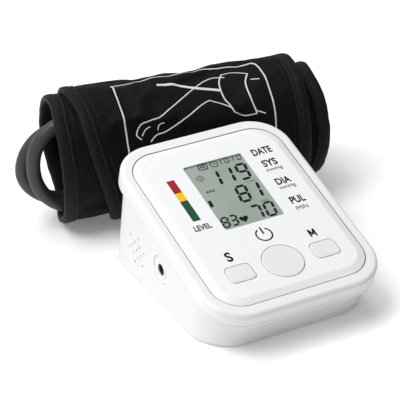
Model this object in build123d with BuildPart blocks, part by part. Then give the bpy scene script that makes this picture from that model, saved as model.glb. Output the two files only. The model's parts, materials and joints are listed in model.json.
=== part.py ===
from build123d import *
import os
from math import cos, radians, sin, tan

# Upper arm blood pressure monitor with its rolled cuff standing behind it.
# Millimetres, +Z up. The origin is the centre of the monitor's footprint on the resting surface,
# +X runs to the monitor's right and +Y to its back. The monitor's face slopes up to the back, so
# its pieces are placed by face planes, whose third axis, w, is the face's outward normal.

os.makedirs("parts", exist_ok=True)

# ---------------------------------------------------------------- driving dimensions, monitor
TILT = 17.75  # slope of the face, degrees
PLATE_Y = -14.94  # centre of the face plate above the footprint
PLATE_Z = 46.97
PLATE_W, PLATE_H, PLATE_R = 90.0, 116.3, 15.8  # face plate outline at its seam
BEVEL = 4.3  # width of the sloping edge around the plate's flat top
BEVEL_DROP = 1.3
PLATE_UNDER = -2.8  # underside of the face plate, along w
SEAM = 0.5  # gap between the plate and the rim
RIM_W, RIM_H, RIM_R = 102.6, 131.6, 22.0
RIM_TOP = -1.1
RIM_EDGE = 2.4  # rounding of the rim's outer edge
SKIRT_END = -8.3  # lower edge of the top cover's skirt
PANEL_UNDER = -4.6  # underside of the panel that carries the face plate
WALL = 2.2

FLANGE_TOP, FLANGE_END = -8.45, -10.2  # flange of the lower case under the skirt
CASE_W, CASE_H, CASE_R = 101.6, 121.8, 22.6  # lower case just below its flange
FOOT_W, FOOT_H, FOOT_R = 95.8, 120.9, 23.6  # the same outline at FOOT_DEPTH, drawn in by draft
FOOT_DEPTH = -75.0
BASE_Z = 1.0  # the case clears the surface by this much, on its rubber feet
FEET = [(-37.0, -38.0), (37.0, -38.0), (-39.0, 38.0), (39.0, 38.0)]
FOOT_PAD_R, FOOT_SINK = 4.5, 0.6
FLOOR = 2.2

WINDOW_W, WINDOW_H, WINDOW_V, WINDOW_R = 35.6, 49.7, 16.5, 1.4
BUTTON_V = -38.1
POWER_R = 11.25
KEY_U, KEY_W, KEY_H, KEY_R = 25.2, 14.6, 11.1, 2.7
KEY_GAP = 0.3
BUTTON_TOP, BUTTON_UNDER = 0.25, -5.6
LAP, LAP_T = 1.3, 0.8  # retaining flange of a button under the panel

BOARD_TOP, BOARD_T = -9.2, 1.6
BOARD_W, BOARD_BACK, BOARD_FRONT = 66.0, 48.0, -53.0
LCD_TOP, LCD_T = -0.9, 3.75  # the glass fills the window's opening, close behind the lens
LCD_LEDGE = 1.8  # width of the frame's ledge under the glass
POST_U, POST_V = 38.0, 51.0  # case screws, on the face
POST_TOP, SCREW_SEAT = -12.4, -20.0
BOARD_SCREWS = [(-20.0, -50.0), (20.0, -50.0), (-29.0, 43.5), (29.0, 43.5)]

SOCKET_Y, SOCKET_Z = -10.7, 24.0
SOCKET_FACE_X, SOCKET_R = -50.0, 8.1
SOCKET_BORE_R, SOCKET_BORE_L = 3.4, 9.0
SPIGOT_X = -35.0
SPEAKER_Y, SPEAKER_Z, SPEAKER_R = 18.7, 21.0, 14.0
SPEAKER_X = -46.7
GRILLE_HOLE_R = 0.8
GRILLE_RINGS = ((4.8, 19.0), (9.2, 49.0))  # radius of a ring of six holes, and its first angle

CELL_R, CELL_L, CELL_PITCH, CELL_Z = 7.25, 50.5, 15.2, 10.95
NUB_R, NUB_L = 2.75, 1.0
CONTACT_T = 0.4
SPRING_R, SPRING_WIRE_R, SPRING_PITCH = 3.0, 0.35, 1.6
BAY_W, BAY_FRONT, BAY_BACK, BAY_TOP = 61.6, -3.5, 53.5, 19.0
BAY_WALL = 1.6
DOOR_LIP, DOOR_T, DOOR_GAP = 2.2, 1.2, 0.25
DOOR_TRAVEL = 8.0
DOOR_BACK = 62.6
TONGUE_X, TONGUE_W = 15.2, 5.0

PUMP_Y, PUMP_Z = 34.0, 35.5
MOTOR_R, MOTOR_X0, MOTOR_X1 = 12.0, -10.0, 20.0
HEAD_R, HEAD_X = 13.0, -30.0
CRANK_R, CRANK_THROW, SHAFT_R = 5.0, 1.6, 1.5
HOSE_R, BARB_R, BARB_BORE_R = 2.5, 1.5, 0.7
TEE_X, TEE_R = -29.0, 4.2
NOZZLE_X = -24.0
VALVE_R, VALVE_X0, VALVE_X1 = 6.0, -12.0, 8.0
PLUNGER_R, PLUNGER_GAP = 2.0, 0.05

# ---------------------------------------------------------------- driving dimensions, cuff
ROLL_TURN = -9.84  # the roll's axis, degrees from +X
ROLL_X, ROLL_Y = 18.2, 90.0  # zero of the distances along the roll's axis
ROLL_A, ROLL_B = 34.0, 40.9  # half depth and half height of the roll
WRAP_T = 2.0
BIND_PROUD, BIND_W = 0.3, 8.0
OUTER_ENDS = (-66.2, 65.3)  # ends of each wrap along the axis, bindings included
MIDDLE_ENDS = (-80.5, 52.0)
INNER_ENDS = (-46.0, 79.5)
OUTER_IN, MIDDLE_IN, INNER_IN = 0.3, 3.3, 7.2  # how far each wrap lies inside the roll's outline
TUBE_R, TUBE_BORE_R = 4.1, 2.1
RING_R, RING_DROP = 1.5, 18.0
RING_ENDS = (-34.0, 60.0)
RING_AWAY, RING_Z = 20.5, 52.0
SLIT = 1.0  # gap at the end of each wrap, beside its next turn
HOOK_START, HOOK_L = -45.0, 86.0
BLADDER_START, BLADDER_L = -36.0, 78.0
PORT_L, PORT_R, PORT_FLANGE_R, PORT_FLANGE_Z = 16.0, 4.7, 4.6, 11.9
PLUG_R, PLUG_L, NOSE_R, NOSE_L = 5.5, 16.0, 3.3, 8.0

SIN, COS = sin(radians(TILT)), cos(radians(TILT))
FACE = Plane(origin=(0, PLATE_Y, PLATE_Z), x_dir=(1, 0, 0), z_dir=(0, -SIN, COS))
FACE_NORMAL = Axis((0, PLATE_Y, PLATE_Z), (0, -SIN, COS))
ROLL_DIR = (cos(radians(ROLL_TURN)), sin(radians(ROLL_TURN)), 0)
AWAY = (-ROLL_DIR[1], ROLL_DIR[0], 0)  # square to the roll's axis, away from the monitor


def save(piece, name):
    """Label a finished piece and write it as its own STEP file."""
    piece.label = name
    export_step(piece, f"parts/{name}.step")


def on_face(u, v, w):
    """Point given by its face coordinates."""
    return (u, PLATE_Y + v * COS - w * SIN, PLATE_Z + v * SIN + w * COS)


def on_roll(s, away, z):
    """Point given by its distance along the roll, across it, and its height."""
    x = ROLL_X + s * ROLL_DIR[0] + away * AWAY[0]
    y = ROLL_Y + s * ROLL_DIR[1] + away * AWAY[1]
    return (x, y, z)


def roll_plane(s, away=0.0, z=ROLL_B):
    """Plane square to the roll's axis: its x points away from the monitor and its y up."""
    return Plane(origin=on_roll(s, away, z), x_dir=AWAY, z_dir=ROLL_DIR)


def facing_x(x, y, z):
    """Plane square to +X: its x is the row's Y and its y is up."""
    return Plane(origin=(x, y, z), x_dir=(0, 1, 0), z_dir=(1, 0, 0))


def run_plane(start, towards):
    """Plane at start, square to the run from start towards the next point."""
    return Plane(origin=start, z_dir=Vector(*towards) - Vector(*start))


def bend_radii(points):
    """Largest tangent arc that each corner of a hose's route leaves room for."""
    radii = []
    for before, here, after in zip(points, points[1:], points[2:]):
        run_in = Vector(*here) - Vector(*before)
        run_out = Vector(*after) - Vector(*here)
        half_turn = radians(run_in.get_angle(run_out)) / 2
        radii.append(0.45 * min(run_in.length, run_out.length) / tan(half_turn))
    return radii


# ================================================================ covers and face
with BuildPart() as top_cover:
    with BuildSketch(FACE.offset(SKIRT_END)):
        RectangleRounded(RIM_W, RIM_H, RIM_R)
    extrude(amount=RIM_TOP - SKIRT_END)
    fillet(top_cover.faces().sort_by(FACE_NORMAL)[-1].edges(), RIM_EDGE)
    with BuildSketch(FACE.offset(SKIRT_END)):
        RectangleRounded(RIM_W - 2 * WALL, RIM_H - 2 * WALL, RIM_R - WALL)
    extrude(amount=PANEL_UNDER - SKIRT_END, mode=Mode.SUBTRACT)
    with BuildSketch(FACE.offset(PLATE_UNDER)):
        RectangleRounded(PLATE_W + 2 * SEAM, PLATE_H + 2 * SEAM, PLATE_R + SEAM)
    extrude(amount=-PLATE_UNDER, mode=Mode.SUBTRACT)
    with BuildSketch(FACE.offset(POST_TOP)):
        with GridLocations(2 * POST_U, 2 * POST_V, 2, 2):
            Circle(3.5)
    extrude(amount=PANEL_UNDER - POST_TOP)
    with BuildSketch(FACE.offset(BOARD_TOP)):
        with Locations(*BOARD_SCREWS):
            Circle(2.6)
    extrude(amount=PANEL_UNDER - BOARD_TOP)
    with BuildSketch(FACE.offset(POST_TOP)):
        with GridLocations(2 * POST_U, 2 * POST_V, 2, 2):
            Circle(1.2)
    extrude(amount=8.0, mode=Mode.SUBTRACT)
    with BuildSketch(FACE.offset(BOARD_TOP)):
        with Locations(*BOARD_SCREWS):
            Circle(0.9)
    extrude(amount=5.0, mode=Mode.SUBTRACT)
    with BuildSketch(FACE.offset(PANEL_UNDER)):
        with Locations((0, WINDOW_V)):
            RectangleRounded(WINDOW_W, WINDOW_H, WINDOW_R)
        with Locations((0, BUTTON_V)):
            Circle(POWER_R + KEY_GAP)
        with Locations((-KEY_U, BUTTON_V), (KEY_U, BUTTON_V)):
            RectangleRounded(KEY_W + 2 * KEY_GAP, KEY_H + 2 * KEY_GAP, KEY_R + KEY_GAP)
    extrude(amount=-PANEL_UNDER, mode=Mode.SUBTRACT)
save(top_cover.part, "top_cover")

with BuildPart() as face_plate:
    with BuildSketch(FACE.offset(PLATE_UNDER)):
        RectangleRounded(PLATE_W, PLATE_H, PLATE_R)
    extrude(amount=-BEVEL_DROP - PLATE_UNDER)
    with BuildSketch(FACE.offset(-BEVEL_DROP)):
        RectangleRounded(PLATE_W, PLATE_H, PLATE_R)
    with BuildSketch(FACE):
        RectangleRounded(PLATE_W - 2 * BEVEL, PLATE_H - 2 * BEVEL, PLATE_R - BEVEL)
    loft()
    with BuildSketch(FACE.offset(PLATE_UNDER)):
        with Locations((0, WINDOW_V)):
            RectangleRounded(WINDOW_W, WINDOW_H, WINDOW_R)
        with Locations((0, BUTTON_V)):
            Circle(POWER_R + KEY_GAP)
        with Locations((-KEY_U, BUTTON_V), (KEY_U, BUTTON_V)):
            RectangleRounded(KEY_W + 2 * KEY_GAP, KEY_H + 2 * KEY_GAP, KEY_R + KEY_GAP)
    extrude(amount=-PLATE_UNDER, mode=Mode.SUBTRACT)
save(face_plate.part, "face_plate")

with BuildPart() as display_window:
    with BuildSketch(FACE.offset(-0.8)):
        with Locations((0, WINDOW_V)):
            RectangleRounded(WINDOW_W - 0.1, WINDOW_H - 0.1, WINDOW_R - 0.05)
    extrude(amount=0.7)
save(display_window.part, "display_window")

# the hollow of the lower case, which is not a piece of its own
with BuildPart() as case_hollow:
    with BuildSketch(FACE.offset(FLANGE_TOP)):
        RectangleRounded(CASE_W - 2 * WALL, CASE_H - 2 * WALL, CASE_R - WALL)
    with BuildSketch(FACE.offset(FOOT_DEPTH)):
        RectangleRounded(FOOT_W - 2 * WALL, FOOT_H - 2 * WALL, FOOT_R - WALL)
    loft()
    split(bisect_by=Plane.XY.offset(BASE_Z + FLOOR), keep=Keep.TOP)

BAY_MID, BAY_LONG = (BAY_FRONT + BAY_BACK) / 2, BAY_BACK - BAY_FRONT
with BuildPart() as lower_case:
    with BuildSketch(FACE.offset(FLANGE_END)):
        RectangleRounded(CASE_W, CASE_H, CASE_R)
    with BuildSketch(FACE.offset(FOOT_DEPTH)):
        RectangleRounded(FOOT_W, FOOT_H, FOOT_R)
    loft()
    with BuildSketch(FACE.offset(FLANGE_END)):
        RectangleRounded(RIM_W, RIM_H, RIM_R)
    extrude(amount=FLANGE_TOP - FLANGE_END)
    add(case_hollow.part, mode=Mode.SUBTRACT)
    # bay for the cells, posts for the case screws and a collar for the speaker
    with BuildSketch(Plane.XY.offset(BASE_Z)):
        with Locations((0, BAY_MID)):
            Rectangle(BAY_W + 2 * BAY_WALL, BAY_LONG + 2 * BAY_WALL)
    extrude(amount=BAY_TOP + BAY_WALL - BASE_Z)
    with BuildSketch(FACE.offset(POST_TOP)):
        with GridLocations(2 * POST_U, 2 * POST_V, 2, 2):
            Circle(4.0)
    extrude(amount=-56.0)
    with BuildSketch(facing_x(SPEAKER_X - 1.5, SPEAKER_Y, SPEAKER_Z)):
        Circle(SPEAKER_R + 1.6)
        Circle(SPEAKER_R + 0.2, mode=Mode.SUBTRACT)
    extrude(amount=5.0)
    split(bisect_by=Plane.XY.offset(BASE_Z), keep=Keep.TOP)
    # inside of the bay, the door's rebate, and slots for the door's two tongues
    with BuildSketch(Plane.XY.offset(BASE_Z)):
        with Locations((0, BAY_MID)):
            Rectangle(BAY_W, BAY_LONG)
    extrude(amount=BAY_TOP - BASE_Z, mode=Mode.SUBTRACT)
    with BuildSketch(Plane.XY.offset(BASE_Z)):
        with Locations((0, BAY_FRONT - DOOR_LIP)):
            Rectangle(BAY_W + 2 * DOOR_LIP, 80.0, align=(Align.CENTER, Align.MIN))
    extrude(amount=DOOR_T, mode=Mode.SUBTRACT)
    with BuildSketch(Plane.XY.offset(BASE_Z + FLOOR)):
        with Locations((-TONGUE_X, BAY_FRONT), (TONGUE_X, BAY_FRONT)):
            Rectangle(TONGUE_W + 1.0, 4.0)
    extrude(amount=1.6, mode=Mode.SUBTRACT)
    # wells and clearance holes for the case screws
    with BuildSketch(FACE.offset(SCREW_SEAT)):
        with GridLocations(2 * POST_U, 2 * POST_V, 2, 2):
            Circle(2.9)
    extrude(amount=-56.0, mode=Mode.SUBTRACT)
    with BuildSketch(FACE.offset(POST_TOP)):
        with GridLocations(2 * POST_U, 2 * POST_V, 2, 2):
            Circle(1.5)
    extrude(amount=SCREW_SEAT - POST_TOP, mode=Mode.SUBTRACT)
    # pockets for the feet, the air socket's seat, and the speaker's grille
    with BuildSketch(Plane.XY.offset(BASE_Z)):
        with Locations(*FEET):
            Circle(FOOT_PAD_R + 0.1)
    extrude(amount=FOOT_SINK, mode=Mode.SUBTRACT)
    with BuildSketch(facing_x(SOCKET_FACE_X + 1.0, SOCKET_Y, SOCKET_Z)):
        Circle(SOCKET_R)
    extrude(amount=-4.0, mode=Mode.SUBTRACT)
    with BuildSketch(facing_x(SOCKET_FACE_X - 2.0, SOCKET_Y, SOCKET_Z)):
        Circle(5.5)
    extrude(amount=6.0, mode=Mode.SUBTRACT)
    with BuildSketch(facing_x(SOCKET_FACE_X - 2.0, SPEAKER_Y, SPEAKER_Z)):
        Circle(GRILLE_HOLE_R)
        for ring_r, first_angle in GRILLE_RINGS:
            with PolarLocations(ring_r, 6, start_angle=first_angle):
                Circle(GRILLE_HOLE_R)
    extrude(amount=6.5, mode=Mode.SUBTRACT)
save(lower_case.part, "lower_case")

with BuildPart() as battery_door:
    with BuildSketch(Plane.XY.offset(BASE_Z)):
        with Locations((0, BAY_FRONT - DOOR_LIP + DOOR_GAP)):
            door_w = BAY_W + 2 * DOOR_LIP - 2 * DOOR_GAP
            Rectangle(door_w, DOOR_BACK - BAY_FRONT + DOOR_LIP, align=(Align.CENTER, Align.MIN))
    extrude(amount=DOOR_T - 0.1)
    with BuildSketch(Plane.XY.offset(BASE_Z + DOOR_T - 0.1)):
        with Locations((0, BAY_FRONT + 0.5)):
            Rectangle(BAY_W - 0.6, BAY_LONG - DOOR_TRAVEL - 1.0, align=(Align.CENTER, Align.MIN))
        with Locations((0, BAY_FRONT + 2.0)):
            inner_l = BAY_LONG - DOOR_TRAVEL - 4.0
            Rectangle(BAY_W - 3.6, inner_l, align=(Align.CENTER, Align.MIN), mode=Mode.SUBTRACT)
    extrude(amount=1.3)
    with BuildSketch(Plane.XY.offset(BASE_Z + FLOOR + 0.15)):
        with Locations((-TONGUE_X, BAY_FRONT - 1.5), (TONGUE_X, BAY_FRONT - 1.5)):
            Rectangle(TONGUE_W, 6.6)
    extrude(amount=1.0)
    # thumb grip: shallow ribs across the outside
    with BuildSketch(Plane.XY.offset(BASE_Z)):
        with GridLocations(0, 2.2, 1, 6):
            with Locations((0, 48.0)):
                Rectangle(22.0, 0.9)
    extrude(amount=0.5, mode=Mode.SUBTRACT)
save(battery_door.part, "battery_door")

with BuildPart() as rubber_feet:
    with BuildSketch(Plane.XY):
        with Locations(*FEET):
            Circle(FOOT_PAD_R)
    extrude(amount=BASE_Z + FOOT_SINK)
save(rubber_feet.part, "rubber_feet")

# ================================================================ buttons and keypad
with BuildPart() as power_button:
    with BuildSketch(FACE.offset(BUTTON_UNDER)):
        with Locations((0, BUTTON_V)):
            Circle(POWER_R + LAP)
    extrude(amount=LAP_T)
    with BuildSketch(FACE.offset(BUTTON_UNDER)):
        with Locations((0, BUTTON_V)):
            Circle(POWER_R)
    extrude(amount=BUTTON_TOP - BUTTON_UNDER)
    fillet(power_button.faces().sort_by(FACE_NORMAL)[-1].edges(), 0.6)
save(power_button.part, "power_button")

for key_name, key_u in (("set_button", -KEY_U), ("memory_button", KEY_U)):
    with BuildPart() as key:
        with BuildSketch(FACE.offset(BUTTON_UNDER)):
            with Locations((key_u, BUTTON_V)):
                RectangleRounded(KEY_W + 2 * LAP, KEY_H + 2 * LAP, KEY_R + LAP)
        extrude(amount=LAP_T)
        with BuildSketch(FACE.offset(BUTTON_UNDER)):
            with Locations((key_u, BUTTON_V)):
                RectangleRounded(KEY_W, KEY_H, KEY_R)
        extrude(amount=BUTTON_TOP - BUTTON_UNDER)
        fillet(key.faces().sort_by(FACE_NORMAL)[-1].edges(), 0.6)
    save(key.part, key_name)

with BuildPart() as keypad:
    with BuildSketch(FACE.offset(BOARD_TOP)):
        with Locations((0, BUTTON_V)):
            RectangleRounded(62.0, 17.0, 2.0)
    extrude(amount=0.8)
    with BuildSketch(FACE.offset(BOARD_TOP)):
        with Locations((0, BUTTON_V)):
            Circle(8.0)
        with Locations((-KEY_U, BUTTON_V), (KEY_U, BUTTON_V)):
            Circle(4.5)
    extrude(amount=2.6)
save(keypad.part, "keypad")

# ================================================================ display and board
LCD_W, LCD_H = WINDOW_W - 0.3, WINDOW_H - 0.3
LCD_UNDER = LCD_TOP - LCD_T
with BuildPart() as lcd_panel:
    with BuildSketch(FACE.offset(LCD_UNDER)):
        with Locations((0, WINDOW_V)):
            RectangleRounded(LCD_W, LCD_H, WINDOW_R - 0.15)
    extrude(amount=LCD_T)
save(lcd_panel.part, "lcd_panel")

with BuildPart() as lcd_frame:
    with BuildSketch(FACE.offset(BOARD_TOP)):
        with Locations((0, WINDOW_V)):
            Rectangle(WINDOW_W + 6.0, WINDOW_H + 6.0)
            Rectangle(LCD_W - 2 * LCD_LEDGE, LCD_H - 2 * LCD_LEDGE, mode=Mode.SUBTRACT)
    extrude(amount=LCD_UNDER - BOARD_TOP)
save(lcd_frame.part, "lcd_frame")

with BuildPart() as lcd_contact_strips:
    strip_v = LCD_H / 2 - LCD_LEDGE - 1.5
    with BuildSketch(FACE.offset(BOARD_TOP)):
        with Locations((0, WINDOW_V - strip_v), (0, WINDOW_V + strip_v)):
            Rectangle(30.0, 1.8)
    extrude(amount=LCD_UNDER - BOARD_TOP)
save(lcd_contact_strips.part, "lcd_contact_strips")

with BuildPart() as main_board:
    with BuildSketch(FACE.offset(BOARD_TOP - BOARD_T)):
        with Locations((0, (BOARD_BACK + BOARD_FRONT) / 2)):
            RectangleRounded(BOARD_W, BOARD_BACK - BOARD_FRONT, 2.0)
        with Locations(*BOARD_SCREWS):
            Circle(1.1, mode=Mode.SUBTRACT)
    extrude(amount=BOARD_T)
save(main_board.part, "main_board")

BOARD_UNDER = BOARD_TOP - BOARD_T
with BuildPart() as board_components:
    with BuildSketch(FACE.offset(BOARD_UNDER)):
        with Locations((6, -12)):
            Rectangle(12.0, 12.0)
        with Locations((20, 8), (20, 20)):
            Rectangle(5.0, 4.0)
        with Locations((-12, 14)):
            Rectangle(8.0, 5.0)
    extrude(amount=-1.6)
    with BuildSketch(FACE.offset(BOARD_UNDER)):
        with Locations((26, -18), (26, -27)):
            Circle(3.1)
        with Locations((-8, -22)):
            SlotOverall(10.0, 4.0)
    extrude(amount=-6.0)
save(board_components.part, "board_components")

# ================================================================ power
CELL_SPOTS = [(i - 1.5) * CELL_PITCH for i in range(4)]
FRONT_STOP = BAY_FRONT + 0.1 + CONTACT_T  # faces of the contact plates that the cells lie between
BACK_STOP = BAY_BACK - 0.1 - CONTACT_T
with BuildPart() as batteries:
    for i, x in enumerate(CELL_SPOTS):
        nub_at_back = i % 2 == 0
        front_y = BACK_STOP - CELL_L if nub_at_back else FRONT_STOP
        can_back_y = front_y + CELL_L - NUB_L if nub_at_back else front_y + CELL_L
        with BuildSketch(Plane.XZ.offset(-can_back_y)):
            with Locations((x, CELL_Z)):
                Circle(CELL_R)
        extrude(amount=CELL_L - NUB_L)
        with BuildSketch(Plane.XZ.offset(-front_y - CELL_L)):
            with Locations((x, CELL_Z)):
                Circle(NUB_R)
        extrude(amount=CELL_L)
save(batteries.part, "batteries")

with BuildPart() as battery_contacts:
    for back_y in (FRONT_STOP, BACK_STOP + CONTACT_T):
        with BuildSketch(Plane.XZ.offset(-back_y)):
            with Locations(*[(x, CELL_Z) for x in CELL_SPOTS]):
                RectangleRounded(12.0, 11.0, 1.5)
        extrude(amount=CONTACT_T)
save(battery_contacts.part, "battery_contacts")

# a spring fills the gap between each cell's flat end and its contact plate
SPRING_GAP = BACK_STOP - FRONT_STOP - CELL_L
SPRING_END = SPRING_WIRE_R + 0.1
spring_path = Helix(pitch=SPRING_PITCH, height=SPRING_GAP - 2 * SPRING_END, radius=SPRING_R)
with BuildPart() as battery_spring:
    with BuildSketch(Plane(origin=spring_path @ 0, z_dir=spring_path % 0)):
        Circle(SPRING_WIRE_R)
    sweep(path=spring_path, is_frenet=True)
springs = []
for i, x in enumerate(CELL_SPOTS):
    at_front = i % 2 == 0
    seat_y = FRONT_STOP + SPRING_END if at_front else BACK_STOP - SPRING_END
    seat = Plane(origin=(x, seat_y, CELL_Z), z_dir=(0, 1 if at_front else -1, 0))
    springs.append(seat.location * battery_spring.part)
save(Compound(springs), "battery_springs")

# ================================================================ air system
with BuildPart() as air_socket:
    with BuildSketch(facing_x(SOCKET_FACE_X + 0.1, SOCKET_Y, SOCKET_Z)):
        Circle(SOCKET_R - 0.2)
    extrude(amount=0.9)
    with BuildSketch(facing_x(SOCKET_FACE_X - 0.2, SOCKET_Y, SOCKET_Z)):
        Circle(5.2)
    extrude(amount=6.0)
    with BuildSketch(facing_x(SOCKET_FACE_X + 5.8, SOCKET_Y, SOCKET_Z)):
        Circle(4.6)
    extrude(amount=SOCKET_BORE_L - 5.0)
    with BuildSketch(facing_x(SOCKET_FACE_X + 8.0, SOCKET_Y, SOCKET_Z)):
        Circle(3.0)
    extrude(amount=SPIGOT_X - SOCKET_FACE_X - 8.0)
    with BuildSketch(facing_x(SOCKET_FACE_X - 0.2, SOCKET_Y, SOCKET_Z)):
        Circle(SOCKET_BORE_R)
    extrude(amount=SOCKET_BORE_L, mode=Mode.SUBTRACT)
    with BuildSketch(facing_x(SOCKET_FACE_X, SOCKET_Y, SOCKET_Z)):
        Circle(BARB_R)
    extrude(amount=20.0, mode=Mode.SUBTRACT)
save(air_socket.part, "air_socket")

TEE_CUP_X = SPIGOT_X - 4.0
TEE_END_X = TEE_X + 6.0
with BuildPart() as air_tee:
    with BuildSketch(facing_x(TEE_CUP_X, SOCKET_Y, SOCKET_Z)):
        Circle(TEE_R)
    extrude(amount=TEE_END_X - TEE_CUP_X)
    with BuildSketch(facing_x(TEE_END_X, SOCKET_Y, SOCKET_Z)):
        Circle(BARB_R)
    extrude(amount=4.0)
    with BuildSketch(Plane(origin=(TEE_X, SOCKET_Y, SOCKET_Z), z_dir=(0, 1, 0))):
        Circle(BARB_R)
    extrude(amount=TEE_R + 4.0)
    with BuildSketch(Plane(origin=(TEE_X, SOCKET_Y, SOCKET_Z), z_dir=(0, 0, 1))):
        Circle(BARB_R)
    extrude(amount=TEE_R + 2.2)
    with BuildSketch(facing_x(TEE_CUP_X, SOCKET_Y, SOCKET_Z)):
        Circle(3.0)
    extrude(amount=4.0, mode=Mode.SUBTRACT)
    with BuildSketch(facing_x(TEE_CUP_X, SOCKET_Y, SOCKET_Z)):
        Circle(BARB_BORE_R)
    extrude(amount=TEE_END_X + 4.0 - TEE_CUP_X, mode=Mode.SUBTRACT)
    with BuildSketch(Plane(origin=(TEE_X, SOCKET_Y, SOCKET_Z), z_dir=(0, 1, 0))):
        Circle(BARB_BORE_R)
    extrude(amount=TEE_R + 4.0, mode=Mode.SUBTRACT)
    with BuildSketch(Plane(origin=(TEE_X, SOCKET_Y, SOCKET_Z), z_dir=(0, 0, 1))):
        Circle(BARB_BORE_R)
    extrude(amount=TEE_R + 2.2, mode=Mode.SUBTRACT)
save(air_tee.part, "air_tee")

# the sensor's port points down the face's normal and meets the tee's upward barb
SENSOR_BEND_Z = SOCKET_Z + TEE_R + 2.7
SENSOR_V = (SOCKET_Y - PLATE_Y) * COS + (SENSOR_BEND_Z - PLATE_Z) * SIN
SENSOR_UNDER = BOARD_UNDER - 3.0
with BuildPart() as pressure_sensor:
    with BuildSketch(FACE.offset(SENSOR_UNDER)):
        with Locations((TEE_X, SENSOR_V)):
            RectangleRounded(7.0, 7.0, 0.6)
    extrude(amount=BOARD_UNDER - SENSOR_UNDER)
    with BuildSketch(FACE.offset(SENSOR_UNDER)):
        with Locations((TEE_X, SENSOR_V)):
            Circle(BARB_R)
    extrude(amount=-2.2)
    with BuildSketch(FACE.offset(SENSOR_UNDER - 2.2)):
        with Locations((TEE_X, SENSOR_V)):
            Circle(BARB_BORE_R)
    extrude(amount=3.2, mode=Mode.SUBTRACT)
save(pressure_sensor.part, "pressure_sensor")

hose_routes = {
    "pump_hose": [
        (NOZZLE_X, PUMP_Y - HEAD_R - 0.2, PUMP_Z),
        (NOZZLE_X, 12.0, PUMP_Z),
        (TEE_X, 3.0, SOCKET_Z),
        (TEE_X, SOCKET_Y + TEE_R + 0.1, SOCKET_Z),
    ],
    "valve_hose": [(TEE_END_X + 0.1, SOCKET_Y, SOCKET_Z), (VALVE_X0 - 0.1, SOCKET_Y, SOCKET_Z)],
    "sensor_hose": [
        (TEE_X, SOCKET_Y, SOCKET_Z + TEE_R + 0.1),
        (TEE_X, SOCKET_Y, SENSOR_BEND_Z),
        on_face(TEE_X, SENSOR_V, SENSOR_UNDER - 0.1),
    ],
}
for hose_name, route in hose_routes.items():
    with BuildPart() as hose:
        with BuildLine() as hose_path:
            if len(route) == 2:
                Line(*route)
            else:
                FilletPolyline(*route, radius=bend_radii(route))
        with BuildSketch(run_plane(route[0], route[1])):
            Circle(HOSE_R)
            Circle(BARB_R, mode=Mode.SUBTRACT)
        sweep(path=hose_path.wires()[0])
    save(hose.part, hose_name)

# ================================================================ pump, valve and speaker
with BuildPart() as pump_motor:
    with BuildSketch(facing_x(MOTOR_X0, PUMP_Y, PUMP_Z)):
        Circle(MOTOR_R)
    extrude(amount=MOTOR_X1 - MOTOR_X0)
    chamfer(pump_motor.edges().filter_by(GeomType.CIRCLE), 0.8)
    with BuildSketch(facing_x(MOTOR_X1, PUMP_Y, PUMP_Z)):
        Circle(3.2)
        with Locations((0, 7.5), (0, -7.5)):
            Rectangle(2.6, 0.6)
    extrude(amount=2.0)
    with BuildSketch(facing_x(MOTOR_X0, PUMP_Y, PUMP_Z)):
        Circle(SHAFT_R + 0.05)
    extrude(amount=9.0, mode=Mode.SUBTRACT)
save(pump_motor.part, "pump_motor")

with BuildPart() as motor_sleeve:
    with BuildSketch(facing_x(MOTOR_X0 + 5.0, PUMP_Y, PUMP_Z)):
        Circle(MOTOR_R + 1.3)
        Circle(MOTOR_R, mode=Mode.SUBTRACT)
    extrude(amount=20.0)
save(motor_sleeve.part, "motor_sleeve")

CRANK_X, CRANK_L = -15.6, 4.0
with BuildPart() as pump_head:
    with BuildSketch(facing_x(HEAD_X, PUMP_Y, PUMP_Z)):
        Circle(HEAD_R)
    extrude(amount=MOTOR_X0 - HEAD_X)
    chamfer(pump_head.edges().filter_by(GeomType.CIRCLE), 0.6)
    with BuildSketch(Plane(origin=(NOZZLE_X, PUMP_Y, PUMP_Z), z_dir=(0, -1, 0))):
        Circle(BARB_R)
    extrude(amount=HEAD_R + 4.0)
    with BuildSketch(facing_x(CRANK_X - 1.0, PUMP_Y, PUMP_Z)):
        Circle(8.5)
    extrude(amount=MOTOR_X0 - CRANK_X + 1.0, mode=Mode.SUBTRACT)
    with BuildSketch(Plane(origin=(NOZZLE_X, PUMP_Y, PUMP_Z), z_dir=(0, -1, 0))):
        Circle(BARB_BORE_R)
    extrude(amount=HEAD_R + 4.0, mode=Mode.SUBTRACT)
save(pump_head.part, "pump_head")

with BuildPart() as pump_crank:
    with BuildSketch(facing_x(CRANK_X, PUMP_Y, PUMP_Z)):
        with Locations((0, CRANK_THROW)):
            Circle(CRANK_R)
    extrude(amount=CRANK_L)
    with BuildSketch(facing_x(CRANK_X, PUMP_Y, PUMP_Z)):
        Circle(SHAFT_R)
    extrude(amount=MOTOR_X0 + 8.5 - CRANK_X)
save(pump_crank.part, "pump_crank")

PLUNGER_X, PLUNGER_L = VALVE_X0 + 2.8, 8.0
with BuildPart() as release_valve:
    with BuildSketch(facing_x(VALVE_X0, SOCKET_Y, SOCKET_Z)):
        Circle(VALVE_R)
    extrude(amount=VALVE_X1 - VALVE_X0)
    chamfer(release_valve.edges().filter_by(GeomType.CIRCLE), 0.5)
    with BuildSketch(facing_x(VALVE_X0, SOCKET_Y, SOCKET_Z)):
        Circle(BARB_R)
    extrude(amount=-4.0)
    with BuildSketch(facing_x(VALVE_X0 + 2.0, SOCKET_Y, SOCKET_Z)):
        Circle(PLUNGER_R + PLUNGER_GAP)
    extrude(amount=12.0, mode=Mode.SUBTRACT)
    with BuildSketch(facing_x(VALVE_X0 - 4.0, SOCKET_Y, SOCKET_Z)):
        Circle(BARB_BORE_R)
    extrude(amount=6.0, mode=Mode.SUBTRACT)
save(release_valve.part, "release_valve")

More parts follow.
